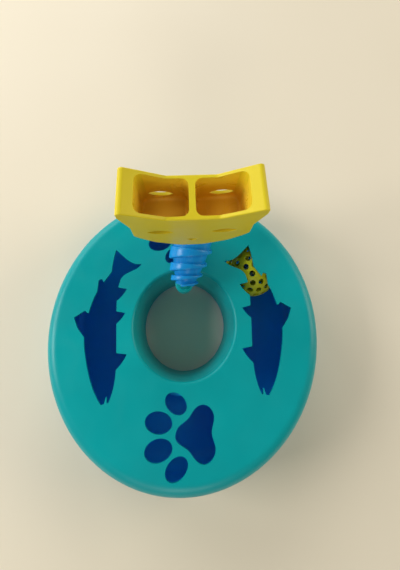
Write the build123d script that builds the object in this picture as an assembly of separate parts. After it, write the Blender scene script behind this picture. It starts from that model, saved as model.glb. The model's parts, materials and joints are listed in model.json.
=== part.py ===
"""Cat puzzle feeder: a round ball track under a cover with fish and paw openings, and a cat head
with two treat cups on a stepped spiral neck that tilts, swings and swivels.

Millimetres. The origin is on the floor on the ring's axis, +Z is up, -Y is the front.
"""
from build123d import *
import os
from math import cos, pi, radians, sin, sqrt, tan

# Ring
outer_r = 125.0          # outside radius of the cover and the tray rim
ball_r = 27.0
deck_t = 2.8             # thickness of the cover's top
skirt_t = 2.5            # thickness of the cover's skirt and hole wall
edge_round = 11.0        # round between the top and the skirt
hole_draft = 5.4         # the centre hole is this much narrower in radius at the bottom
lip_round = 3.0          # round of the hole's rim
rim_z = 12.0             # height of the tray's rim, where the skirt stands

# Tray
tray_z = 2.0             # underside of the tray, held off the floor by the feet
tray_t = 2.5             # thickness of the tray's floor
track_round = 14.0       # round between the track's floor and its walls
track_wall_t = 2.4
roll_gap = 0.3           # under the ball
side_gap = 3.5           # on each side of the ball in its track
over_gap = 2.4           # between the ball and the cover
wall_drop = 3.2          # between the track walls and the cover
rim_band = 7.0           # from the track's outer wall to the outside
hole_band = 10.4         # from the track's inner wall to the centre hole
track_out_r = outer_r - rim_band
ball_track_r = track_out_r - side_gap - ball_r
track_in_r = ball_track_r - ball_r - side_gap
hole_top_r = track_in_r - hole_band                   # centre hole at the top
hole_foot_r = hole_top_r - hole_draft
deck_z = tray_z + tray_t + roll_gap + 2 * ball_r + over_gap + deck_t    # height of the cover's flat top
track_top_z = deck_z - deck_t - wall_drop
lip_h = 4.0              # spigot inside the skirt
lip_edge = 0.5
fit_gap = 0.2            # clearance between parts that push together
sharp = 0.01             # corner that is left sharp
overrun = 2.0            # how far a tool runs past a face
foot_edge = 1.0          # small rounds on the ring's hidden corners
floor_edge = 1.5         # round of the tray's outer foot

# Feet
foot_count = 6
foot_r = 6.0
foot_h = 3.0

# Screws
screw_r = 1.5            # shank
screw_head_r = 2.8
screw_head_h = 2.0
screw_len = 10.0
screw_dome = 0.9         # round of a screw's head
screw_drive_r = 1.12     # hexagonal drive
screw_drive_t = 1.0
thread_gap = 0.02        # between a shank and its pilot hole
pass_gap = 0.2           # between a shank and a hole that it passes through
boss_count = 4
boss_r = 4.0
boss_off = 1.1           # from the hole's wall to a boss's middle
boss_ring_r = hole_top_r + skirt_t + boss_off
boss_turn = 45.0         # angle of the first boss
boss_foot_z = 8.0
counterbore_z = 5.0

# Fish and paws, seen from above: the left fish for a track of this radius, and the front paw from its pad
fish_track_r = 87.5
fin_root_x = -62.6
fin_overlap = 3.0
fin_sweep = 1.6          # how far a fin's tip lies in front of its root
fin_root_share = 1.35    # length of a fin's root, for its own length
fin_belly_share = 0.9
fins = ((33.2, 8.6), (12.2, 8.0), (-21.6, 11.0))      # where each belly fin begins, and its length
fish_tail_out = (-69.4, 48.1)
fish_tail_in = (-60.6, 40.0)
fish_snout = (-71.6, -59.7)
fish_jaw = (-65.2, -58.3)
fish_back = ((-75.6, 39.6), (-82.6, 29.0), (-88.1, 12.5), (-90.6, -8.0), (-87.5, -25.0), (-77.5, -51.2))
fish_belly = ((-61.4, -46.0), (-60.6, -25.0), (-61.6, -8.0), (-62.8, 14.0), (-62.6, 30.0))
tail_tip_out = (-66.4, 68.6)
tail_tip_in = (-40.8, 54.0)
tail_out_mid = (-68.7, 57.0)
tail_end_mid = ((-60.0, 62.9), (-54.0, 57.9))
tail_in_mid = ((-48.5, 48.4), (-56.6, 44.6))
dorsal_fin = ((-88.0, -9.0), (-91.0, -7.6), (-97.4, 0.0), (-101.2, 8.6), (-91.6, 14.2), (-89.4, 12.0),
              (-84.0, 12.0))
dorsal_radii = (0.2, 3.0, 6.0, 0.5, 0.9, 0.5, 0.2)
small_fin = ((-79.0, 30.0), (-81.9, 30.0), (-81.4, 40.4), (-78.2, 41.6), (-76.4, 38.4), (-74.0, 36.0))
small_fin_radii = (0.2, 0.5, 1.0, 1.2, 0.5, 0.2)
mouth_points = ((-69.6, -62.0), (-67.2, -52.8), (-66.2, -62.0))
mouth_radii = (0.2, 0.3, 0.2)
paw_inset = 4.1          # the pad's middle lies this much inside the middle of the track
paw_y = ball_track_r - paw_inset
pad_points = ((-9.3, 0.0), (-5.6, 6.3), (1.4, 10.7), (6.6, 16.6), (13.4, 20.0), (20.6, 17.0), (23.3, 10.6),
              (20.8, 0.0))
toes = ((-8.5, 21.7, -35.0, 10.0, 7.2), (-23.0, 9.2, -9.0, 11.4, 7.9))   # x, y, turn and half axes

# Ball
ball_wall = 1.8
ball_hole_r = 2.95
ball_row_angles = (13.0, 32.0, 51.0, 70.5, 90.0)      # latitude of each row of holes
ball_row_counts = (18, 16, 12, 6, 1)
ball_azimuth = 35.1
ball_lip_h = 2.0
ball_lip_t = 1.0
bell_r = 6.0
bell_wall = 0.6
bell_slot_w = 1.2
pellet_r = 1.8
pellet_gap = 0.1

# Knuckle on the hole's rim
lug_x = 0.5
lug_reach = 11.8         # from the hole's edge to the middle of the lug
lug_y = hole_top_r - lug_reach
lug_r = 8.5
lug_t = 12.0
lug_round = 2.5
stem_r = 4.0
turn_gap = 0.08          # radial running clearance of shafts in bores
face_gap = 0.1           # between faces that turn on each other
flange_r = 7.5
flange_t = 2.0
eye_r = 6.5              # outside of the hinge eye
eye_w = 6.0
eye_neck_w = 11.5        # width of the eye's foot
pin_r = 2.0
pin_len = 14.0
pivot_h = 16.0           # pivot above the cover's top

# Neck
neck_azimuth = 12.0      # the neck points this far to the right of straight back
neck_rise = 14.0         # slope of the neck's axis
neck_shift = 1.2         # the cone's axis passes this far to the right of the pin's middle
neck_start = -3.4        # front end of the cone, from the pivot along the axis
neck_shoulder = 46.0     # where the spiral ends and the rounded end begins
neck_cap = 14.0          # length of the rounded end
neck_full_r = 21.0
neck_cap_share = (0.72, 0.7)     # a point on the rounded end, as shares of its radius and length
nose_r = 8.2
coil_r = 10.9            # outside radius where the spiral begins
coil_growth = 1.35       # for each half turn
coil_start = -5.3        # lower edge of the spiral at its beginning
coil_begin = 0.25        # half turns past the left side where the spiral begins
coil_pitch = 2.2         # climb in the first half turn, apart from what it gains
coil_pitch_gain = 0.32
coil_depth = 4.8         # of the spiral band, radially
coil_full = 0.78         # height of the band on the left, as a share of the pitch
coil_thin = 0.11         # and on the right, where it tapers out
coil_step_count = 12     # sections in each half turn
core_inset = 1.2         # of the core inside the smallest turn beside it
slot_gap = 0.3           # on each side of the eye
slot_end_gap = 1.5

# Head
head_w = 103.4           # across the ears
head_d = 34.3
head_x = 7.9             # middle of the head
head_reach = 23.3        # from the knuckle back to the head's front
head_front_y = lug_y + head_reach
valley_h = 128.9         # edge between the ears, above the cover's top
chin_drop = 73.7         # chin below that edge
valley_half = 18.9
# From the ear's tip to the chin: how far inside the ear's tip, height against the valley, round
head_side = ((0.0, 19.6, 3.0), (0.0, 8.0, 3.0), (6.1, -17.0, 1.5), (6.1, -39.2, 5.0), (10.7, -46.8, 7.0),
             (20.9, -59.8, 16.0), (41.7, -72.6, 14.0))
valley_round = 5.0
head_wall = 2.8
head_edge = 1.0
cup_in_x = 2.4
ear_wall = 11.2          # from the cup to the side of the ear
cup_out_x = head_w / 2 - ear_wall
cup_depth = 42.0
cup_corner = 5.5
cup_foot_round = 3.0
cup_floor_t = 2.5
cup_clear = 5.0          # how far the tools run past a face
eye_slot_w = 20.0
eye_slot_h = 9.0
eye_slot_out = 3.05      # the eye lies this far outside the middle of its cup
eye_slot_x = (cup_in_x + cup_out_x) / 2 + eye_slot_out
eye_slot_drop = 30.0
eye_slot_turn = 8.0
nose_w = 12.0
nose_h = 7.0
nose_drop = 55.0
nose_depth = 1.6
nose_round = 1.6

# Swivel under the head
post_back = 23.4         # from the head's front to the post
post_y = head_front_y + post_back
post_r = 9.0
collar_r = 10.8
collar_drop = 1.6        # collar below the chin
journal_r = 5.0
collar_h = 8.0
washer_t = 1.4
washer_r = 8.0
knuckle_washer_r = 6.0

# Back plate of the head
plate_t = 2.4
plate_rebate = 1.3
plate_gap = 0.15
plate_boss_r = 3.6
plate_boss_inset = 19.7  # of the outer bosses, from the head's side
plate_boss_drop = 51.5   # below the valley
plate_boss_x = head_w / 2 - plate_boss_inset
plate_boss_points = ((-plate_boss_x, -plate_boss_drop), (plate_boss_x, -plate_boss_drop), (0.0, -plate_boss_drop))

os.makedirs("parts", exist_ok=True)


def save(shape, name):
    """Write one piece as its own file."""
    solids = shape.solids()
    piece = solids[0] if len(solids) == 1 else Compound(children=list(solids))
    piece.label = name
    export_step(piece, f"parts/{name}.step")
    print(name, len(solids), round(piece.volume, 1))


def tube(radius, z_low, z_high, x=0.0, y=0.0):
    """Upright round bar between two heights."""
    return Pos(x, y, z_low) * extrude(Circle(radius), z_high - z_low)


def outline(points, radii):
    """Closed face of straight runs joined by arcs."""
    return make_face(FilletPolyline(*points, radius=list(radii), close=True))


def polar(radius, angle):
    """Point on a circle round the ring's axis."""
    return radius * cos(radians(angle)), radius * sin(radians(angle))


def pan_screw(length=screw_len):
    """Pan head screw with its shank up and its head below the origin."""
    head = Pos(0, 0, -screw_head_h) * extrude(Circle(screw_head_r), screw_head_h)
    head = fillet(head.edges().group_by(Axis.Z)[0], screw_dome)
    drive = Pos(0, 0, -screw_head_h) * extrude(RegularPolygon(screw_drive_r, 6), screw_drive_t)
    return head + extrude(Circle(screw_r), length) - drive


# Openings in the cover
def belly_fin(root_y, length):
    """Fin on the belly side of the left fish, with its root inside the body."""
    inside_x = fin_root_x - fin_overlap
    end_y = root_y - length * fin_root_share
    tip = (fin_root_x + length, root_y - fin_sweep)
    belly = (fin_root_x + length / 2, root_y - length * fin_belly_share)
    back = ThreePointArc(tip, belly, (fin_root_x, end_y))
    front = Polyline((inside_x, end_y), (inside_x, root_y), (fin_root_x, root_y), tip)
    close = Line((fin_root_x, end_y), (inside_x, end_y))
    return make_face([back, front, close])


def fish_face():
    """Left fish, nose to the front and tail to the back."""
    back = Spline(fish_tail_out, *fish_back, fish_snout)
    belly = Spline(fish_jaw, *fish_belly, fish_tail_in)
    fish = make_face([back, Line(fish_snout, fish_jaw), belly, Line(fish_tail_in, fish_tail_out)])
    fish += make_face([
        Spline(fish_tail_out, tail_out_mid, tail_tip_out),
        Spline(tail_tip_out, *tail_end_mid, tail_tip_in),
        Spline(tail_tip_in, *tail_in_mid, fish_tail_in),
        Line(fish_tail_in, fish_tail_out),
    ])
    fish += outline(dorsal_fin, dorsal_radii)
    fish += outline(small_fin, small_fin_radii)
    for root_y, length in fins:
        fish += belly_fin(root_y, length)
    return fish - outline(mouth_points, mouth_radii)


def paw_faces():
    """Main pad and four toes of the front paw, which points to the left."""
    mirrored = [(x, -y) for x, y in reversed(pad_points[1:-1])]
    faces = [make_face(Spline(*pad_points, *mirrored, periodic=True))]
    for x, y, turn, long_r, short_r in toes:
        for side in (1, -1):
            faces.append(Pos(x, side * y) * Rot(0, 0, side * turn) * Ellipse(long_r, short_r))
    return faces


def deck_cutters():
    """Tools that open the fish and the paws in the cover's top."""
    depth = deck_t + 2 * fit_gap
    low = deck_z - deck_t - fit_gap
    left = extrude(Pos(fish_track_r - ball_track_r, 0, low) * fish_face(), depth)
    tools = [left, mirror(left, about=Plane.YZ)]
    for face in paw_faces():
        toe = extrude(Pos(0, -paw_y, low) * face, depth)
        tools += [toe, mirror(toe, about=Plane.XZ)]
    return tools


# Base
def cover_shell():
    """Top, skirt and hole wall as one turned shell."""
    foot_z = tray_z + tray_t
    outside = [(hole_foot_r, foot_z), (hole_top_r, deck_z), (outer_r, deck_z), (outer_r, foot_z)]
    inside = [(hole_foot_r + skirt_t, foot_z), (hole_top_r + skirt_t, deck_z - deck_t),
              (outer_r - skirt_t, deck_z - deck_t), (outer_r - skirt_t, foot_z)]
    outer_face = outline(outside, [sharp, lip_round, edge_round, sharp])
    inner_face = outline(inside, [sharp, foot_edge, edge_round - skirt_t, sharp])
    section = outer_face - inner_face
    section -= Pos(outer_r, (foot_z + rim_z) / 2) * Rectangle(4 * skirt_t, rim_z - foot_z)
    return revolve(Plane.XZ * section, Axis.Z)


def make_cover():
    body = cover_shell()
    for k in range(boss_count):
        x, y = polar(boss_ring_r, boss_turn + 360 / boss_count * k)
        body += tube(boss_r, boss_foot_z, deck_z - deck_t / 2, x, y)
    root_y = hole_top_r + skirt_t
    lug = Circle(lug_r) + Pos(0, (root_y - lug_y) / 2) * Rectangle(2 * lug_r, root_y - lug_y)
    lug = Pos(lug_x, lug_y, deck_z - lug_t) * extrude(lug, lug_t)
    free = lug.edges().filter_by_position(Axis.Y, lug_y - lug_r, lug_y + sharp)
    lug = fillet(free.group_by(Axis.Z)[-1], lug_round)
    body += lug
    for k in range(boss_count):
        x, y = polar(boss_ring_r, boss_turn + 360 / boss_count * k)
        body -= tube(screw_r + thread_gap, boss_foot_z, boss_foot_z + screw_len, x, y)
    body -= tube(stem_r + turn_gap, deck_z - lug_t, deck_z, lug_x, lug_y)
    for tool in deck_cutters():
        body -= tool
    return body


def make_tray():
    floor_z = tray_z + tray_t
    wall_in = track_in_r - track_wall_t
    wall_out = track_out_r + track_wall_t
    skirt_in = outer_r - skirt_t - fit_gap
    base = outline([(hole_foot_r, tray_z), (outer_r, tray_z), (outer_r, rim_z), (skirt_in, rim_z),
                    (skirt_in, rim_z + lip_h), (wall_out, rim_z + lip_h), (wall_out, track_top_z),
                    (wall_in, track_top_z), (wall_in, floor_z), (hole_foot_r, floor_z)],
                   [foot_edge, floor_edge, sharp, sharp, lip_edge, sharp, sharp, sharp, sharp, sharp])
    track = outline([(track_in_r, floor_z), (track_out_r, floor_z), (track_out_r, track_top_z + overrun),
                     (track_in_r, track_top_z + overrun)], [track_round, track_round, sharp, sharp])
    body = revolve(Plane.XZ * (base - track), Axis.Z)
    for k in range(boss_count):
        x, y = polar(boss_ring_r, boss_turn + 360 / boss_count * k)
        body += tube(boss_r, tray_z, boss_foot_z, x, y)
        body -= tube(screw_head_r + pass_gap, tray_z, counterbore_z, x, y)
        body -= tube(screw_r + pass_gap, counterbore_z, boss_foot_z, x, y)
    for k in range(foot_count):
        x, y = polar(ball_track_r, 360 / foot_count * k)
        body -= tube(foot_r + fit_gap, tray_z, foot_h, x, y)
    return body


# Ball with its bell
def ball_centre():
    x, y = polar(ball_track_r, ball_azimuth)
    return x, y, tray_z + tray_t + roll_gap + ball_r


def ball_half(top):
    """One perforated half, with its open side on the ball's middle plane."""
    inner = ball_r - ball_wall
    shell = Sphere(ball_r) - Sphere(inner)
    half = shell & (Pos(0, 0, ball_r) * Box(3 * ball_r, 3 * ball_r, 2 * ball_r))
    for latitude, count in zip(ball_row_angles, ball_row_counts):
        for k in range(count):
            turn = 360 / count * k + latitude
            drill = extrude(Circle(ball_hole_r), ball_r + overrun)
            half -= Rot(0, 0, turn) * Rot(0, 90 - latitude, 0) * drill
    if top:
        return half
    lip_r = sqrt(inner ** 2 - ball_lip_h ** 2) - thread_gap
    lip = tube(lip_r, -2 * ball_lip_h, ball_lip_h) - tube(lip_r - ball_lip_t, -2 * ball_lip_h, ball_lip_h)
    return mirror(half, about=Plane.XY) + lip


def bell_shell():
    shell = Sphere(bell_r) - Sphere(bell_r - bell_wall)
    slot = Pos(0, 0, bell_r / 2) * Box(3 * bell_r, bell_slot_w, bell_r)
    return shell - slot


# Knuckle
def pivot_point():
    return lug_x, lug_y, deck_z + pivot_h


def make_knuckle():
    """Stud that turns in the lug and carries the hinge eye."""
    stem_low = deck_z - lug_t - face_gap
    flange_low = deck_z + face_gap
    body = tube(stem_r, stem_low, flange_low) + tube(flange_r, flange_low, flange_low + flange_t)
    body = Pos(lug_x, lug_y, 0) * body
    eye = Circle(eye_r) + Pos(0, -pivot_h / 2) * Rectangle(eye_neck_w, pivot_h - flange_t)
    eye = extrude(eye, eye_w / 2, both=True) - extrude(Circle(pin_r + turn_gap), eye_w, both=True)
    across = Plane(origin=pivot_point(), x_dir=neck_plan(), z_dir=neck_cross())
    body += across * eye
    return body - tube(screw_r + thread_gap, stem_low, stem_low + screw_len - washer_t, lug_x, lug_y)


# Neck
def neck_plan():
    """Level direction in which the neck points."""
    return sin(radians(neck_azimuth)), cos(radians(neck_azimuth)), 0


def neck_cross():
    """Level direction across the neck, along the hinge pin."""
    return cos(radians(neck_azimuth)), -sin(radians(neck_azimuth)), 0


def neck_plane():
    """Frame of the neck: origin on the pin, z along the neck, x across it to the right."""
    forward_x, forward_y, _ = neck_plan()
    level = cos(radians(neck_rise))
    axis = (forward_x * level, forward_y * level, sin(radians(neck_rise)))
    return Plane(origin=pivot_point(), x_dir=neck_cross(), z_dir=axis)


def climb(half_turns):
    """Distance along the neck that the spiral's lower edge has climbed."""
    return coil_start + coil_pitch * half_turns + coil_pitch_gain * half_turns ** 2


def coil_outside(half_turns):
    """Outside radius of the spiral band."""
    return min(coil_r + coil_growth * half_turns, neck_full_r)


def coil_section(half_turns):
    """Cut through the spiral band, on the half plane at that angle."""
    angle = pi * half_turns
    out_x, out_y = -cos(angle), -sin(angle)
    radius = coil_outside(half_turns)
    low = climb(half_turns)
    share = coil_thin + (coil_full - coil_thin) * abs(1 - half_turns % 2)
    high = low + share * (climb(half_turns + 2) - low)
    corners = [(radius - coil_depth, low), (radius, low), (radius, high), (radius - coil_depth, high)]
    points = [(r * out_x, r * out_y, z) for r, z in corners]
    return Wire.make_polygon(points)


def make_neck():
    """Cone with a spiral band round it, along z from the pin."""
    turns = [coil_begin]
    while climb(turns[-1]) < neck_shoulder:
        turns.append((int(turns[-1] * coil_step_count + sharp) + 1) / coil_step_count)
    band = Solid.make_loft([coil_section(turn) for turn in turns], ruled=True)
    band &= Pos(0, 0, coil_start) * extrude(Circle(2 * neck_full_r), neck_shoulder - coil_start)
    core = [(0, neck_start), (nose_r, neck_start), (nose_r, climb(2))]
    half_turn = 3
    while climb(half_turn) < neck_shoulder:
        core.append((coil_outside(half_turn - 2) - core_inset, climb(half_turn)))
        half_turn += 1
    core += [(core[-1][0], neck_shoulder), (neck_full_r, neck_shoulder)]
    tip = (0, neck_shoulder + neck_cap)
    share_r, share_z = neck_cap_share
    middle = (neck_full_r * share_r, neck_shoulder + neck_cap * share_z)
    cap = Spline((neck_full_r, neck_shoulder), middle, tip, tangents=((0, 1), (-1, 0)))
    profile = make_face([Polyline(*core), cap, Line(tip, core[0])])
    return Pos(neck_shift, 0, 0) * (revolve(Plane.XZ * profile, Axis.Z) + band)


def post_point():
    """Centre of the upright post, which is the head's middle from side to side."""
    return head_x, post_y


def place_neck():
    frame = neck_plane()
    body = frame * make_neck()
    x, y = post_point()
    axis_z = deck_z + pivot_h + (post_y - lug_y) / cos(radians(neck_azimuth)) * tan(radians(neck_rise))
    top = collar_low() - face_gap
    body += tube(post_r, axis_z, top, x, y)
    body += tube(journal_r, top, collar_low() + collar_h + face_gap, x, y)
    slot_w = eye_w + 2 * slot_gap
    slot_end = eye_r + slot_end_gap
    slot = Pos(0, outer_r / 2 - slot_end, (slot_end + 2 * neck_start - eye_r) / 2)
    slot = slot * Box(slot_w, outer_r, slot_end - 2 * neck_start + eye_r)
    body -= frame * slot
    body -= frame * (Rot(0, 90, 0) * Pos(0, 0, -outer_r / 2) * extrude(Circle(pin_r), outer_r))
    high = collar_low() + collar_h + face_gap
    return body - tube(screw_r + thread_gap, high - screw_len + washer_t, high, x, y)


def make_pin():
    return neck_plane() * (Rot(0, 90, 0) * Pos(0, 0, -pin_len / 2) * extrude(Circle(pin_r), pin_len))


# Head
def collar_low():
    return deck_z + valley_h - chin_drop - collar_drop


def head_outline():
    half = head_w / 2
    right = [(valley_half, 0)] + [(half - inset, height) for inset, height, _ in head_side]
    left = [(-x, z) for x, z in reversed(right)]
    radii = [valley_round] + [turn for _, _, turn in head_side]
    return outline(right + left, radii + radii[::-1])


def head_block(face, y_low, y_high):
    """Face drawn from the front, extruded from one depth to another."""
    x, _ = post_point()
    plane = Plane(origin=(x, y_high, deck_z + valley_h), x_dir=(1, 0, 0), z_dir=(0, -1, 0))
    return plane * extrude(face, y_high - y_low)


def chamber_face(grow=0.0):
    """Space below the cups, inside the walls."""
    top = -cup_depth - cup_floor_t + grow
    inner = offset(head_outline(), -head_wall + grow)
    return inner - Pos(0, top + head_w / 2) * Rectangle(2 * head_w, head_w)


def eye_slot(side):
    inner, outer = (-eye_slot_w / 2, 0), (eye_slot_w / 2, 0)
    lid = ThreePointArc(inner, (0, eye_slot_h / 2), outer)
    face = make_face([lid, ThreePointArc(outer, (0, -eye_slot_h / 2), inner)])
    return Pos(side * eye_slot_x, -eye_slot_drop) * Rot(0, 0, side * eye_slot_turn) * face


def make_head():
    back_y = head_front_y + head_d
    x, y = post_point()
    body = head_block(head_outline(), head_front_y, back_y)
    faces = body.faces().sort_by(Axis.Y)
    body = fillet(faces[0].edges() + faces[-1].edges(), head_edge)
    body += tube(collar_r, collar_low(), collar_low() + collar_h, x, y)
    cup_w = cup_out_x - cup_in_x
    cup_d = head_d - 2 * head_wall
    cup_top = head_side[0][1] + cup_clear
    for side in (1, -1):
        plan = RectangleRounded(cup_w, cup_d, cup_corner)
        cup = extrude(plan, cup_depth + cup_top)
        cup = fillet(cup.edges().group_by(Axis.Z)[0], cup_foot_round)
        mid_x = x + side * (cup_in_x + cup_w / 2)
        body -= Pos(mid_x, head_front_y + head_d / 2, deck_z + valley_h - cup_depth) * cup
        body -= head_block(eye_slot(side), head_front_y - cup_clear, back_y + cup_clear)
    chamber = head_block(chamber_face(), head_front_y + head_wall, back_y)
    bosses = None
    for bx, bz in plate_boss_points:
        boss = head_block(Pos(bx, bz) * Circle(plate_boss_r), head_front_y + head_wall, back_y - plate_t)
        bosses = boss if bosses is None else bosses + boss
    chamber -= bosses
    chamber -= tube(collar_r, collar_low(), collar_low() + collar_h, x, y)
    body -= chamber
    body -= head_block(chamber_face(plate_rebate), back_y - plate_t, back_y)
    for bx, bz in plate_boss_points:
        pilot = Pos(bx, bz) * Circle(screw_r + thread_gap)
        body -= head_block(pilot, back_y - plate_t - screw_len, back_y - plate_t)
    nose = outline([(-nose_w / 2, nose_h / 2), (0, -nose_h / 2), (nose_w / 2, nose_h / 2)], [nose_round] * 3)
    body -= head_block(Pos(0, -nose_drop) * nose, head_front_y - cup_clear, head_front_y + nose_depth)
    return body - tube(journal_r + turn_gap, collar_low(), collar_low() + collar_h, x, y)


def make_back_plate():
    back_y = head_front_y + head_d
    plate = head_block(chamber_face(plate_rebate - plate_gap), back_y - plate_t, back_y)
    for bx, bz in plate_boss_points:
        plate -= head_block(Pos(bx, bz) * Circle(screw_r + pass_gap), back_y - plate_t, back_y)
    return plate


def place_plate_screw(point):
    """Screw through the back plate, with its head outside."""
    x, _ = post_point()
    spot = (x + point[0], head_front_y + head_d, deck_z + valley_h + point[1])
    return Plane(origin=spot, x_dir=(1, 0, 0), z_dir=(0, -1, 0)) * pan_screw(screw_len)


def make_washer(radius, z_low, x, y):
    z_high = z_low + washer_t
    return tube(radius, z_low, z_high, x, y) - tube(screw_r + pass_gap, z_low, z_high, x, y)


# Write every piece
save(make_cover(), "cover")
save(make_tray(), "tray")
for n in range(foot_count):
    fx, fy = polar(ball_track_r, 360 / foot_count * n)
    save(tube(foot_r, 0, foot_h, fx, fy), f"foot_{n + 1}")
for n in range(boss_count):
    sx, sy = polar(boss_ring_r, boss_turn + 360 / boss_count * n)
    save(Pos(sx, sy, counterbore_z) * pan_screw(), f"tray_screw_{n + 1}")
save(make_knuckle(), "knuckle")
under_lug = deck_z - lug_t - face_gap - washer_t
save(make_washer(knuckle_washer_r, under_lug, lug_x, lug_y), "knuckle_washer")
save(Pos(lug_x, lug_y, under_lug) * pan_screw(), "knuckle_screw")
save(make_pin(), "hinge_pin")
save(place_neck(), "neck")
post_x, post_back_y = post_point()
over_collar = collar_low() + collar_h + face_gap
save(make_washer(washer_r, over_collar, post_x, post_back_y), "swivel_washer")
save(Pos(post_x, post_back_y, over_collar + washer_t) * Rot(180, 0, 0) * pan_screw(), "swivel_screw")
save(make_head(), "head_shell")
save(make_back_plate(), "head_back")
for n, point in enumerate(plate_boss_points):
    save(place_plate_screw(point), f"head_screw_{n + 1}")
centre = Pos(*ball_centre())
save(centre * ball_half(True), "ball_upper")
save(centre * ball_half(False), "ball_lower")
bell_low = centre * Pos(0, 0, -(ball_r - ball_wall - bell_r - roll_gap))
save(bell_low * bell_shell(), "bell")
save(bell_low * Pos(0, 0, -(bell_r - bell_wall - pellet_r - pellet_gap)) * Sphere(pellet_r), "bell_pellet")
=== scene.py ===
# %% [markdown]
# A cat puzzle feeder in Blender. The real one is a set of injection mouldings: a teal cover over a
# blue ball track, a blue spiral neck, and a yellow cat head with two cups. The lesson takes the
# engineering model as a fixed frame, gives its pieces soft moulded edges, and models again the
# pieces whose form is more than the frame shows: the perforated ball, the spiral neck and the
# neck's pin.
# %% Load the frame
import json
from math import cos, pi, radians, sin, tan

import bpy
from mathutils import Matrix, Vector

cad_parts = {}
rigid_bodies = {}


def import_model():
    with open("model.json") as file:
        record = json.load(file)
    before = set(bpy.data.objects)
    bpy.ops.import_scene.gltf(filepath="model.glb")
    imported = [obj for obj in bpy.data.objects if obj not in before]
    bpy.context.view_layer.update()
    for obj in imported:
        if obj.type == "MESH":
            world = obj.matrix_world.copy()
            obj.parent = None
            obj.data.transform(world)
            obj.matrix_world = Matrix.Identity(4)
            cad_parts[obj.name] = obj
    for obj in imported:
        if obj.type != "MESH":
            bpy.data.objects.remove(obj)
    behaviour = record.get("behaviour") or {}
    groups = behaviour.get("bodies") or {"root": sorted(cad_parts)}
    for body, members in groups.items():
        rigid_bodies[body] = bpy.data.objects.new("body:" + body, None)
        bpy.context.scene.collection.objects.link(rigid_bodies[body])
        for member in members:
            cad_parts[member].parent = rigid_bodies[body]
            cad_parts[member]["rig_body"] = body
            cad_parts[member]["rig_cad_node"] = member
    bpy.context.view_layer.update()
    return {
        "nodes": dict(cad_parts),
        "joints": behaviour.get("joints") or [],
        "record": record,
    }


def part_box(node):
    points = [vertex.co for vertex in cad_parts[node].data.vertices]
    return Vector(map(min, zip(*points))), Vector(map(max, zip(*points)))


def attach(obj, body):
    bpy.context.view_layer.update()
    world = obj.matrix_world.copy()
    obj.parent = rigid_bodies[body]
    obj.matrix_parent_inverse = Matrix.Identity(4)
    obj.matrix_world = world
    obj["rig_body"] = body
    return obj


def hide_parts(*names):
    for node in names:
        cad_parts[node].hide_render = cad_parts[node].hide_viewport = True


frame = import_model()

MM = 0.001

# %% [markdown]
# Where the joints turn is in the frame's record, so new pieces read their places from there and
# nothing is measured twice. The neck is modelled upright at the origin, because that is the easy
# way to draw a spiral, and is then laid into its place with one matrix: x across it, z along it.
# %% Places from the frame
joints = {joint["name"]: joint for joint in frame["joints"]}
neck_pivot = Vector(joints["neck_tilt"]["pos_m"])
neck_cross = Vector(joints["neck_tilt"]["axis"]).normalized()
swivel = Vector(joints["head_swivel"]["pos_m"])
neck_rise = radians(14)      # of the neck's axis above the level, at rest
neck_level = Vector((-neck_cross.y, neck_cross.x, 0))
neck_along = neck_level * cos(neck_rise) + Vector((0, 0, sin(neck_rise)))
neck_turn = Matrix((neck_cross, neck_along.cross(neck_cross), neck_along)).transposed()
neck_place = Matrix.Translation(neck_pivot) @ neck_turn.to_4x4()
ball_low, ball_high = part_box("ball_upper")
ball_r = (ball_high.x - ball_low.x) / 2
ball_centre = Vector(((ball_low.x + ball_high.x) / 2, (ball_low.y + ball_high.y) / 2,
                      ball_high.z - ball_r))
deck_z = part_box("cover")[1].z
print("ball centre in mm:", [round(v / MM, 1) for v in ball_centre])

# %% [markdown]
# The photograph looks down at about 62 degrees from above the front. It was taken close, with a
# wide lens, and then cropped: the point that the lens looked at is above the picture's middle,
# which the camera's shift gives. A lens of 24 mm on a 36 mm sensor has the photograph's angle.
# %% Camera
camera_place = (0.0018, -0.0187, 0.4508)
camera_turn = (radians(27.95), radians(-2.20), radians(-2.57))
lens_mm = 24.0
sensor_mm = 36.0
crop_right, crop_up = -0.006, -0.2475      # shares of the picture's longer side
nearest_seen = 0.01

bpy.ops.object.camera_add(location=camera_place, rotation=camera_turn)
camera = bpy.context.object
camera.name = "photo_camera"
camera.data.lens = lens_mm
camera.data.sensor_width = sensor_mm
camera.data.shift_x = crop_right
camera.data.shift_y = crop_up
camera.data.clip_start = nearest_seen
bpy.context.scene.camera = camera
bpy.context.scene.view_settings.view_transform = "Standard"
print("camera in mm:", [round(v / MM, 1) for v in camera_place])

# %% [markdown]
# A few helpers serve every piece and finish. Colours are picked on a screen, so they are written
# as sRGB hex values and turned to the linear numbers that the shaders work in. An operator acts on
# everything selected, so each step starts from a known selection.
# %% Helpers


def linear(hex_colour):
    """Linear RGBA of an sRGB hex colour, by the curve of the sRGB standard."""
    shares = [int(hex_colour[k:k + 2], 16) / 255 for k in (1, 3, 5)]
    return tuple(s / 12.92 if s <= 0.04045 else ((s + 0.055) / 1.055) ** 2.4
                 for s in shares) + (1.0,)


def add_node(tree, kind, links=(), **settings):
    """Node of a kind, with its settings, and with values or other nodes' sockets on its inputs."""
    node = tree.nodes.new(kind)
    for key, value in settings.items():
        setattr(node, key, value)
    for socket, value in dict(links).items():
        if isinstance(value, bpy.types.NodeSocket):
            tree.links.new(value, node.inputs[socket])
        else:
            node.inputs[socket].default_value = value
    return node


def only(piece):
    """Make one object the whole selection and the active object."""
    for other in bpy.context.selected_objects:
        other.select_set(False)
    piece.select_set(True)
    bpy.context.view_layer.objects.active = piece


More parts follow.
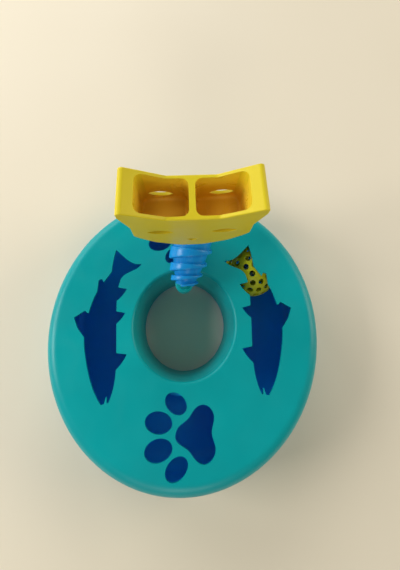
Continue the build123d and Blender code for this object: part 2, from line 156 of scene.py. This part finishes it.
def apply_modifier(piece, kind, **settings):
    """Add one modifier with its settings, and make its result the mesh."""
    only(piece)
    modifier = piece.modifiers.new(kind.lower(), kind)
    for key, value in settings.items():
        setattr(modifier, key, value)
    bpy.ops.object.modifier_apply(modifier=modifier.name)


def cut(piece, tool, operation="DIFFERENCE"):
    """Boolean of two closed meshes. The tool is used up."""
    apply_modifier(piece, "BOOLEAN", object=tool, operation=operation, solver="EXACT")
    bpy.data.objects.remove(tool)


def round_edges(piece, width, angle, **settings):
    """Bevel in two steps, on the edges that turn by more than an angle in degrees."""
    apply_modifier(piece, "BEVEL", width=width, segments=2, limit_method="ANGLE",
                   angle_limit=radians(angle), **settings)


def smooth(piece, angle):
    """Smooth shading, apart from the edges that turn by more than an angle in degrees."""
    only(piece)
    bpy.ops.object.shade_smooth_by_angle(angle=radians(angle))


# %% [markdown]
# The photograph's ground is a pale cream floor in daylight. A plane far larger than the object is
# enough, matt, in two close cream tones that drift over nearly half a metre.
# %% Floor
floor_size = 40.0
drift_scale = 2.2            # waves of the drift in a metre
floor_roughness = 0.75

bpy.ops.mesh.primitive_plane_add(size=floor_size)
floor = bpy.context.object
floor.name = "floor"
floor_paint = bpy.data.materials.new("cream_floor_paint")
floor_paint.use_nodes = True
tree = floor_paint.node_tree
shader = tree.nodes["Principled BSDF"]
place = add_node(tree, "ShaderNodeTexCoord")
drift = add_node(tree, "ShaderNodeTexNoise", {"Vector": place.outputs["Object"],
                                              "Scale": drift_scale, "Detail": 2.0})
tone = add_node(tree, "ShaderNodeMix", {"Factor": drift.outputs["Fac"], "A": linear("#ECE3D1"),
                                        "B": linear("#E0D5BF")}, data_type="RGBA")
tree.links.new(tone.outputs["Result"], shader.inputs["Base Color"])
shader.inputs["Roughness"].default_value = floor_roughness
floor.data.materials.append(floor_paint)
print("floor:", floor_size, "m square")

# %% [markdown]
# The photograph was taken in a pale room in daylight. The left wall of the centre hole is dark and
# the right one bright, so a window stands at the left. The head throws one soft shadow on the
# floor behind it and another to the right, so there is light from the front and from behind as
# well. Overhead it is dim: the floor seen through the hole is the darkest part of the floor. Five
# lamps at the places of those windows, far enough off to light the floor evenly, and a weak,
# slightly blue world give the same balance, at a plain level.
# %% Lights
lamp_aim = Vector((0, 0, 0.03))
room_strength = 0.20


def area_lamp(name, location, size, power, colour):
    """Square lamp that looks at the object."""
    bpy.ops.object.light_add(type="AREA", location=location)
    lamp = bpy.context.object
    lamp.name = name
    lamp.data.size = size
    lamp.data.energy = power
    lamp.data.color = linear(colour)[:3]
    lamp.rotation_euler = (lamp_aim - Vector(location)).to_track_quat("-Z", "Y").to_euler()
    print(name, power, "W")


area_lamp("window_left", (-1.65, 0.05, 1.00), 0.8, 22.5, "#FFFAF2")
area_lamp("window_back_left", (-1.35, 1.45, 0.95), 1.2, 18.5, "#FFFDF8")
area_lamp("window_back", (0.00, 2.00, 0.90), 1.2, 15.0, "#FFFDF8")
area_lamp("window_right", (1.95, 0.30, 0.92), 1.2, 21.0, "#FFF0D6")
area_lamp("room_front", (-0.20, -2.00, 1.15), 1.0, 12.0, "#FFF4E2")
world = bpy.data.worlds.new("pale_room")
world.use_nodes = True
room = world.node_tree.nodes["Background"]
room.inputs["Color"].default_value = linear("#DCEFFA")
room.inputs["Strength"].default_value = room_strength
bpy.context.scene.world = world

# %% [markdown]
# Nearly every visible piece is ABS, injection moulded in a polished tool with a fine eroded grain.
# That gives the eye three things: a soft sheen that breaks up over the grain, a colour that is
# not quite the same all over because the melt is never perfectly mixed, and faint smudges from
# handling that change only the gloss. One function makes the finish, because the same process
# made every piece, and each colour of granulate gets its own material.
# %% Moulded plastics
grain_size = 0.9 * MM        # the tool's grain is finer, but finer than this wouldn't show
grain_depth = 0.1 * MM
melt_size = 60 * MM
smudge_size = 22 * MM
smudge_bend = 0.6
smudge_low, smudge_high = 0.35, 0.7        # the noise between these goes from clean to smudged
wiped, smudged = 0.05, 0.07                # taken off the roughness, and added to it
abs_ior = 1.5
abs_specular = 0.25


def moulded_abs(name, light, dark, roughness, grain=0.10):
    """ABS in one colour: two close tones, smudged gloss and an eroded grain."""
    material = bpy.data.materials.new(name)
    material.use_nodes = True
    tree = material.node_tree
    shader = tree.nodes["Principled BSDF"]
    place = add_node(tree, "ShaderNodeTexCoord").outputs["Object"]
    melt = add_node(tree, "ShaderNodeTexNoise", {"Vector": place, "Scale": 1 / melt_size,
                                                 "Detail": 3.0})
    tone = add_node(tree, "ShaderNodeMix", {"Factor": melt.outputs["Fac"], "A": linear(dark),
                                            "B": linear(light)}, data_type="RGBA")
    smudge = add_node(tree, "ShaderNodeTexNoise", {"Vector": place, "Scale": 1 / smudge_size,
                                                   "Detail": 5.0, "Distortion": smudge_bend})
    gloss = add_node(tree, "ShaderNodeMapRange", {"Value": smudge.outputs["Fac"],
                                                  "From Min": smudge_low, "From Max": smudge_high,
                                                  "To Min": roughness - wiped,
                                                  "To Max": roughness + smudged})
    eroded = add_node(tree, "ShaderNodeTexNoise", {"Vector": place, "Scale": 1 / grain_size,
                                                   "Detail": 2.0})
    bump = add_node(tree, "ShaderNodeBump", {"Height": eroded.outputs["Fac"], "Strength": grain,
                                             "Distance": grain_depth})
    tree.links.new(tone.outputs["Result"], shader.inputs["Base Color"])
    tree.links.new(gloss.outputs["Result"], shader.inputs["Roughness"])
    tree.links.new(bump.outputs["Normal"], shader.inputs["Normal"])
    shader.inputs["IOR"].default_value = abs_ior
    shader.inputs["Specular IOR Level"].default_value = abs_specular
    print(name, light, dark)
    return material


teal_abs = moulded_abs("moulded_abs_teal", "#02A6AC", "#008F95", 0.36)
blue_abs = moulded_abs("moulded_abs_deep_blue", "#0CA2F6", "#0A98EC", 0.34)
sky_abs = moulded_abs("moulded_abs_sky_blue", "#148EDC", "#1084CE", 0.30, grain=0.05)
yellow_abs = moulded_abs("moulded_abs_yellow", "#E6D22C", "#DCC622", 0.38)
ball_abs = moulded_abs("moulded_abs_lemon", "#DADC2C", "#CCD020", 0.34)

# %% [markdown]
# The fasteners are steel with a zinc plate, faintly brushed from tumbling, and the bell in the ball
# is steel with a nickel plate, smoother and warmer. The metal takes its colour from the plate, and
# the brushing is long streaks in its gloss.
# %% Plated metals
streak_stretch = (1, 1, 0.15)              # the streaks run along z
streak_bright, streak_dull = 0.7, 1.5      # shares of the roughness, in a streak and between


def plated_steel(name, colour, roughness, streak):
    """Plated steel: the plate's colour, and streaks as wide as given in its gloss."""
    material = bpy.data.materials.new(name)
    material.use_nodes = True
    tree = material.node_tree
    shader = tree.nodes["Principled BSDF"]
    place = add_node(tree, "ShaderNodeTexCoord").outputs["Object"]
    stretch = add_node(tree, "ShaderNodeMapping", {"Vector": place, "Scale": streak_stretch})
    streaks = add_node(tree, "ShaderNodeTexNoise", {"Vector": stretch.outputs["Vector"],
                                                    "Scale": 1 / streak, "Detail": 2.0})
    gloss = add_node(tree, "ShaderNodeMapRange", {"Value": streaks.outputs["Fac"],
                                                  "To Min": roughness * streak_bright,
                                                  "To Max": roughness * streak_dull})
    tree.links.new(gloss.outputs["Result"], shader.inputs["Roughness"])
    shader.inputs["Base Color"].default_value = linear(colour)
    shader.inputs["Metallic"].default_value = 1.0
    print(name, colour)
    return material


zinc_steel = plated_steel("zinc_plated_steel", "#C9CCD0", 0.32, 0.4 * MM)
nickel_steel = plated_steel("nickel_plated_steel", "#D8D3C8", 0.16, 2 * MM)

# %% [markdown]
# The feet are black rubber, matt, with the grey bloom of the talc that keeps them from sticking
# in the mould.
# %% Rubber
bloom_size = 3 * MM
rubber_roughness = 0.8

foot_rubber = bpy.data.materials.new("black_rubber")
foot_rubber.use_nodes = True
tree = foot_rubber.node_tree
shader = tree.nodes["Principled BSDF"]
place = add_node(tree, "ShaderNodeTexCoord").outputs["Object"]
bloom = add_node(tree, "ShaderNodeTexNoise", {"Vector": place, "Scale": 1 / bloom_size,
                                              "Detail": 4.0})
tone = add_node(tree, "ShaderNodeMix", {"Factor": bloom.outputs["Fac"], "A": linear("#2B2C2E"),
                                        "B": linear("#3D3E40")}, data_type="RGBA")
tree.links.new(tone.outputs["Result"], shader.inputs["Base Color"])
shader.inputs["Roughness"].default_value = rubber_roughness
print(foot_rubber.name)

# %% [markdown]
# The cover, the tray, the head and its back plate, and the knuckle have their right form in the
# frame, but every edge there is knife sharp, and a moulding has none: its edges are rounded a
# few tenths of a millimetre, and each catches a thin line of light. So each is copied, the copy's
# loose triangles are joined into whole faces, and a bevel rounds the edges.
# %% Soft edges for the frame's mouldings
weld_gap = 0.004 * MM
flat_turn = radians(0.4)     # triangles that meet at less than this become one face
sharp_turn = 32              # edges that turn by more degrees are rounded
smooth_turn = 30             # and edges that turn by less are shaded smooth
weight_of_flats = 80
large_edge = 0.5 * MM
small_edge = 0.3 * MM


def moulded_copy(node, name, edge, material, body):
    """Copy of a frame node with rounded edges, which stands for that node."""
    only(frame["nodes"][node])
    bpy.ops.object.duplicate()
    piece = bpy.context.object
    piece.name = name
    piece.parent = None
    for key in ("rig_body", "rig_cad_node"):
        del piece[key]
    bpy.ops.object.mode_set(mode="EDIT")
    bpy.ops.mesh.select_all(action="SELECT")
    bpy.ops.mesh.remove_doubles(threshold=weld_gap)
    bpy.ops.mesh.dissolve_limited(angle_limit=flat_turn)
    bpy.ops.object.mode_set(mode="OBJECT")
    round_edges(piece, edge, sharp_turn, use_clamp_overlap=True, miter_outer="MITER_ARC")
    smooth(piece, smooth_turn)
    apply_modifier(piece, "WEIGHTED_NORMAL", keep_sharp=True, weight=weight_of_flats)
    piece.data.materials.clear()
    piece.data.materials.append(material)
    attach(piece, body)
    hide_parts(node)
    print(name, len(piece.data.polygons), "faces")
    return piece


moulded_copy("cover", "teal_cover", large_edge, teal_abs, "base")
moulded_copy("tray", "blue_tray", large_edge, blue_abs, "base")
moulded_copy("knuckle", "teal_knuckle", small_edge, teal_abs, "knuckle")
head = moulded_copy("head_shell", "cat_head", large_edge, yellow_abs, "head")
moulded_copy("head_back", "head_back_plate", small_edge, yellow_abs, "head")

# %% [markdown]
# The inside of the cups isn't painted the head's yellow. An amber is painted there as the glow of
# light that bounces inside the cups and shines through their thin yellow walls. It is deepest at
# the bottom and hardly shows at the rim. So the cups get a finish of their own, in which the height
# in the head blends amber into yellow. The faces that get it lie between the head's outer walls and
# above the cups' floor, and don't look down.
# %% Painted glow in the cups
head_low, head_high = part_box("head_shell")
head_mid = (head_low + head_high) / 2
cup_half_d = (head_high.y - head_low.y) / 2 - 2.0 * MM       # inside the front and back walls
cup_half_w = (head_high.x - head_low.x) / 2 - 10.0 * MM      # and inside the cheeks
cup_low = deck_z + 84.0 * MM
cup_rim = deck_z + 120.0 * MM
glow_free_height = cup_rim + 30 * MM                             # no painted glow at all from here
looks_down = -0.2

# Painted glow: this amber stands in for light bounced inside the cups and shining through the
# yellow walls. It is not a colour the plastic has.
cup_glow_abs = moulded_abs("moulded_abs_painted_cup_glow", "#FFD44C", "#FFCA40", 0.30)
tree = cup_glow_abs.node_tree
shader = tree.nodes["Principled BSDF"]
deep_glow = shader.inputs["Base Color"].links[0].from_socket
place = add_node(tree, "ShaderNodeTexCoord")
height = add_node(tree, "ShaderNodeSeparateXYZ", {"Vector": place.outputs["Object"]})
# The painted glow is deepest low in the cups and fades into the yellow higher up.
fade = add_node(tree, "ShaderNodeMapRange", {"Value": height.outputs["Z"], "From Min": cup_low,
                                             "From Max": glow_free_height})
tone = add_node(tree, "ShaderNodeMix", {"Factor": fade.outputs["Result"], "A": deep_glow,
                                        "B": linear("#E6CF2A")}, data_type="RGBA")
tree.links.new(tone.outputs["Result"], shader.inputs["Base Color"])
head.data.materials.append(cup_glow_abs)
glow_painted = 0
for face in head.data.polygons:
    middle = face.center
    inside = (abs(middle.y - head_mid.y) < cup_half_d
              and abs(middle.x - head_mid.x) < cup_half_w)
    if inside and cup_low < middle.z < cup_rim and face.normal.z > looks_down:
        face.material_index = 1
        glow_painted += 1
print("stained faces:", glow_painted)

# %% [markdown]
# The ball is a thin sphere in two halves, pressed together at the middle. A half is a sphere cut
# at its middle, and a Solidify modifier gives it its wall on the inside.
# %% Shell of the ball's upper half
ball_wall = 1.8 * MM
ball_segments = 120
seam = 0.08 * MM             # each half stands back this far at the middle

bpy.ops.mesh.primitive_uv_sphere_add(segments=ball_segments, ring_count=ball_segments // 2,
                                     radius=ball_r)
ball_half = bpy.context.object
ball_half.name = "ball_top_half"
bpy.ops.object.mode_set(mode="EDIT")
bpy.ops.mesh.select_all(action="SELECT")
bpy.ops.mesh.bisect(plane_co=(0, 0, seam), plane_no=(0, 0, 1), clear_inner=True)
bpy.ops.object.mode_set(mode="OBJECT")
apply_modifier(ball_half, "SOLIDIFY", thickness=ball_wall, offset=-1)
print("shell:", len(ball_half.data.polygons), "faces")

# %% [markdown]
# The ball is full of round holes, in five rows, so that a cat can see and smell what is inside.
# They could be cut one by one, but each cut costs time, so one drill is copied to every hole, the
# drills are joined into one tool, and a single cut opens them all. Their edges are then rounded.
# %% Holes of the ball
hole_r = 2.95 * MM
hole_sides = 32
hole_rows = ((13, 18), (32, 16), (51, 12), (70.5, 6), (90, 1))   # degrees up, and holes in the row
hole_edge = 0.25 * MM
hole_turn = 40
ball_turn = 35

bpy.ops.mesh.primitive_cylinder_add(vertices=hole_sides, radius=hole_r, depth=3 * ball_wall)
drill = bpy.context.object
drills = []
for latitude, count in hole_rows:
    for k in range(count):
        copy = drill.copy()
        copy.data = drill.data.copy()
        bpy.context.collection.objects.link(copy)
        spin = Matrix.Rotation(radians(360 / count * k + latitude), 4, "Z")
        lean = Matrix.Rotation(radians(90 - latitude), 4, "Y")
        copy.data.transform(spin @ lean @ Matrix.Translation((0, 0, ball_r - ball_wall / 2)))
        drills.append(copy)
bpy.data.objects.remove(drill)
only(drills[0])
for copy in drills:
    copy.select_set(True)
bpy.ops.object.join()
cut(ball_half, bpy.context.object)
round_edges(ball_half, hole_edge, hole_turn)
smooth(ball_half, ball_turn)
ball_half.data.materials.append(ball_abs)
print("holes in a half:", len(drills))

# %% [markdown]
# The lower half comes from the same mould, so it is the upper one turned over: a copy is squeezed
# to minus one in height, and its normals are flipped back. The halves are pressed together at any
# turn, and here the lower one is turned so that few holes can be looked straight through.
# %% Lower half of the ball
under_turn = radians(141)

only(ball_half)
bpy.ops.object.duplicate()
ball_under = bpy.context.object
ball_under.name = "ball_bottom_half"
bpy.ops.object.mode_set(mode="EDIT")
bpy.ops.mesh.select_all(action="SELECT")
bpy.ops.transform.resize(value=(1, 1, -1), center_override=(0, 0, 0))
bpy.ops.mesh.flip_normals()
bpy.ops.object.mode_set(mode="OBJECT")
ball_under.data.transform(Matrix.Rotation(under_turn, 4, "Z"))
for piece, node in ((ball_half, "ball_upper"), (ball_under, "ball_lower")):
    piece.data.transform(Matrix.Translation(ball_centre))
    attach(piece, "ball")
    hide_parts(node)
    print(piece.name, len(piece.data.polygons), "faces")

# %% [markdown]
# The neck looks like a ribbon wound up a cone. On the left each turn of the ribbon is tall and
# stands out over a dark groove, and on the right it thins to a line. It climbs across the front and
# runs level behind. Four short formulas say how far a turn has come, where the ribbon's lower edge
# is, how tall it is and how far out it stands.
# %% Course of the spiral
coil_r = 10.9 * MM           # outside radius where the band begins
coil_growth = 1.35 * MM      # for each half turn
neck_full_r = 21.0 * MM
coil_start = -5.3 * MM       # from the pin, along the neck
coil_pitch = 2.2 * MM
coil_gain = 0.32 * MM        # each half turn climbs this much more
coil_lean = 2.3 * MM         # the band dips this far on the left, and rises as far on the right
coil_full = 0.48             # height on the left where the band begins, as a share of the pitch
coil_fill = 0.065            # each half turn adds this much to the share
coil_most = 0.88             # and this is the most
coil_thin = 0.11             # and on the right
shoulder = 46.0 * MM         # where the spiral ends


def climb(half_turns):
    """How far along the neck the spiral has come, leaning left out."""
    return coil_start + coil_pitch * half_turns + coil_gain * half_turns ** 2


def band_foot(half_turns):
    """How far along the neck the band's lower edge is, leaning taken in."""
    return climb(half_turns) - coil_lean * cos(pi * half_turns)


def band_height(half_turns):
    """Tall on the left of the neck, thin on the right."""
    tall = min(coil_full + coil_fill * half_turns, coil_most)
    share = coil_thin + (tall - coil_thin) * abs(1 - half_turns % 2)
    return share * (climb(half_turns + 2) - climb(half_turns))


def band_r(half_turns):
    """Outside radius of the band."""
    return min(coil_r + coil_growth * half_turns, neck_full_r)


print("pitch in mm:", round((climb(2) - climb(0)) / MM, 1), "at the front,",
      round((climb(8) - climb(6)) / MM, 1), "further up")

# %% [markdown]
# The ribbon could be a screw modifier, but that keeps one radius and one pitch, and here radius,
# climb and height all change. So a rounded rectangle is extruded step by step, as by hand: each
# step turns it a little round the axis, lifts it, moves it outwards and stretches its height.
# %% Spiral band of the neck
coil_depth = 4.8 * MM
coil_edge = 0.6 * MM
coil_edge_segments = 4
coil_steps = 24              # for each half turn
first_step = 10              # the band begins this many steps past the left side

begin = first_step / coil_steps
bpy.ops.mesh.primitive_plane_add(size=1, rotation=(radians(90), 0, 0),
                                 location=(-(band_r(begin) - coil_depth / 2), 0,
                                           band_foot(begin) + band_height(begin) / 2))
band = bpy.context.object
band.name = "spiral_band"
band.scale = (coil_depth, band_height(begin), 1)
bpy.ops.object.transform_apply(location=True, rotation=True, scale=True)
bpy.ops.object.mode_set(mode="EDIT")
bpy.ops.mesh.select_all(action="SELECT")
bpy.ops.mesh.bevel(offset=coil_edge, segments=coil_edge_segments, affect="VERTICES")
bpy.ops.transform.rotate(value=-pi * begin, orient_axis="Z", center_override=(0, 0, 0))
step = first_step
while climb(step / coil_steps) < shoulder:
    now, after = step / coil_steps, (step + 1) / coil_steps
    out = Vector((-cos(pi * after), -sin(pi * after), 0))
    grown = band_r(after) - band_r(now)
    lift = band_foot(after) - band_foot(now)
    bpy.ops.mesh.extrude_region_move()
    bpy.ops.transform.rotate(value=-pi / coil_steps, orient_axis="Z", center_override=(0, 0, 0))
    bpy.ops.transform.translate(value=out * grown + Vector((0, 0, lift)))
    bpy.ops.transform.resize(value=(1, 1, band_height(after) / band_height(now)),
                             center_override=(0, 0, band_foot(after)))
    step += 1
bpy.ops.mesh.select_all(action="SELECT")
bpy.ops.mesh.normals_make_consistent(inside=False)
bpy.ops.object.mode_set(mode="OBJECT")
print("spiral band:", step - first_step, "steps,", len(band.data.polygons), "faces")

# %% [markdown]
# Behind the band the neck is solid: a stepped cone with a rounded back end. It is a turned form, so
# it is drawn as half a section, by extruding one point along it, and spun round its axis. The same
# function serves the post and the pin further down. The band runs past both ends of the spiral,
# and what it has in common with a plain turned form is kept.
# %% Core and back end
nose_r = 8.8 * MM
neck_start = -3.4 * MM
core_inset = 1.2 * MM        # the core stands back this far under the band
cap_length = 14.0 * MM
cap_steps = 12
axis_weld = 0.005 * MM
neck_shift = Vector((1.2 * MM, 0, 0))


def turned(name, profile, steps=96):
    """Closed turned form from (radius, height) points that begin and end on the axis."""
    bpy.ops.mesh.primitive_plane_add(size=MM)
    piece = bpy.context.object
    piece.name = name
    bpy.ops.object.mode_set(mode="EDIT")
    bpy.ops.mesh.select_all(action="SELECT")
    bpy.ops.mesh.merge(type="CENTER")
    bpy.ops.transform.translate(value=(profile[0][0], 0, profile[0][1]))
    for (r_now, z_now), (r_next, z_next) in zip(profile, profile[1:]):
        move = (r_next - r_now, 0, z_next - z_now)
        bpy.ops.mesh.extrude_region_move(TRANSFORM_OT_translate={"value": move})
    bpy.ops.mesh.select_all(action="SELECT")
    bpy.ops.mesh.spin(steps=steps, angle=2 * pi, center=(0, 0, 0), axis=(0, 0, 1))
    bpy.ops.mesh.select_all(action="SELECT")
    bpy.ops.mesh.remove_doubles(threshold=axis_weld)
    bpy.ops.mesh.normals_make_consistent(inside=False)
    bpy.ops.object.mode_set(mode="OBJECT")
    return piece


profile = [(0, neck_start), (nose_r, neck_start), (nose_r, climb(2))]
half_turn = 3                # the core's first step outwards is at this one
while climb(half_turn) < shoulder:
    profile.append((band_r(half_turn - 2) - core_inset, climb(half_turn)))
    half_turn += 1
profile.append((profile[-1][0], shoulder))
for k in range(cap_steps + 1):
    angle = pi / 2 * k / cap_steps
    profile.append((neck_full_r * cos(angle), shoulder + cap_length * sin(angle)))
core = turned("core", profile)
band_limit = turned("band_limit", [(0, coil_start), (2 * neck_full_r, coil_start),
                                   (2 * neck_full_r, shoulder), (0, shoulder)], steps=32)
cut(band, band_limit, "INTERSECT")
for piece in (core, band):
    piece.data.transform(Matrix.Translation(neck_shift))
print("core:", len(core.data.polygons), "faces, band:", len(band.data.polygons), "faces")

# %% [markdown]
# The head turns on an upright post with a thinner journal at its top, and a pilot hole in the
# journal takes the screw that holds the head. The post's foot lies in the cone, where their axes
# meet.
# %% Post for the head
post_r = 9.0 * MM
post_edge = 0.4 * MM
journal_r = 5.0 * MM
turning_gap = 0.1 * MM
collar_h = 8.0 * MM
pilot_r = 1.52 * MM
pilot_depth = 8.6 * MM
pilot_sides = 24
post_top = swivel.z - turning_gap
journal_top = post_top + collar_h + 2 * turning_gap
post_out = Vector((swivel.x - neck_pivot.x, swivel.y - neck_pivot.y, 0)).length
post_low = neck_pivot.z + post_out * tan(neck_rise)

post = turned("post", [(0, post_low), (post_r, post_low), (post_r, post_top - post_edge),
                       (post_r - post_edge, post_top), (journal_r, post_top),
                       (journal_r, journal_top), (0, journal_top)])
post.data.transform(Matrix.Translation((swivel.x, swivel.y, 0)))
bpy.ops.mesh.primitive_cylinder_add(vertices=pilot_sides, radius=pilot_r, depth=2 * pilot_depth,
                                    location=(swivel.x, swivel.y, journal_top))
pilot_tool = bpy.context.object
bpy.ops.object.transform_apply(location=True, rotation=True, scale=True)
cut(post, pilot_tool)
print("post:", len(post.data.polygons), "faces")

# %% [markdown]
# The front of the neck is a fork. A slot takes the knuckle's eye between two cheeks, and a pin goes
# through the eye and into both cheeks, in holes that stop short of the outside, because the
# photograph shows no pin. The slot and the holes are cut from the cone and from the band one after
# the other, while each is still a simple closed form: a boolean is safest on those. Only then are
# the band, the cone and the post joined into one piece.
# %% Fork, pin holes and one neck
eye_r = 6.5 * MM
slot_w = 6.6 * MM
slot_end = eye_r + 1.5 * MM
slot_far = 60 * MM
slot_low = 2 * neck_start - eye_r
slot_roof = eye_r + 0.3 * MM
pin_r = 2.0 * MM
pin_hole = 12.8 * MM         # from end to end, less than the neck is wide there
pin_sides = 32
core_edge = 0.5 * MM
band_edge = 0.2 * MM
neck_sharp_turn = 50
neck_smooth_turn = 32

for piece in (core, band):
    bpy.ops.mesh.primitive_cube_add(size=1)
    slot_tool = bpy.context.object
    slot_tool.data.transform(
        Matrix.Translation((0, slot_far - slot_roof, (slot_end + slot_low) / 2))
        @ Matrix.Diagonal((slot_w, 2 * slot_far, slot_end - slot_low, 1)))
    cut(piece, slot_tool)
    bpy.ops.mesh.primitive_cylinder_add(vertices=pin_sides, radius=pin_r, depth=pin_hole,
                                        rotation=(0, radians(90), 0))
    pin_tool = bpy.context.object
    bpy.ops.object.transform_apply(location=True, rotation=True, scale=True)
    cut(piece, pin_tool)
for piece, edge in ((core, core_edge), (band, band_edge)):
    round_edges(piece, edge, neck_sharp_turn)
    piece.data.transform(neck_place)
only(post)
core.select_set(True)
band.select_set(True)
bpy.ops.object.join()
neck = bpy.context.object
neck.name = "spiral_neck"
smooth(neck, neck_smooth_turn)
neck.data.materials.append(sky_abs)
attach(neck, "neck")
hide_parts("neck")
print("neck:", len(neck.data.polygons), "faces")

# %% [markdown]
# The pin is a steel rod with a small chamfer at each end, so that it starts easily into its hole.
# It is turned upright and laid across the neck.
# %% Hinge pin
pin_end = 6.2 * MM           # from the neck's middle
pin_edge = 0.4 * MM
pin_fit = 0.02 * MM
pin_side = pin_r - pin_fit

pin = turned("hinge_pin_chamfered", [(0, -pin_end), (pin_r - pin_edge, -pin_end),
                                     (pin_side, pin_edge - pin_end),
                                     (pin_side, pin_end - pin_edge),
                                     (pin_r - pin_edge, pin_end), (0, pin_end)], steps=48)
pin.data.transform(neck_place @ Matrix.Rotation(radians(90), 4, "Y"))
smooth(pin, smooth_turn)
pin.data.materials.append(zinc_steel)
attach(pin, "neck")
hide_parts("hinge_pin")
print("pin:", len(pin.data.polygons), "faces")

# %% [markdown]
# What is left of the frame is small hardware whose form is right as it is: feet, screws, washers
# and the bell. Each gets its material by the slot that the record names for it.
# %% Materials for the frame's small pieces
finishes = {"steel": zinc_steel, "bell_steel": nickel_steel, "foot_rubber": foot_rubber}
finished = 0
for part in frame["record"]["subparts"]:
    node = frame["nodes"][part["node"]]
    if part["material_slot"] in finishes and not node.hide_render:
        node.data.materials.clear()
        node.data.materials.append(finishes[part["material_slot"]])
        finished += 1
print("small pieces finished:", finished)
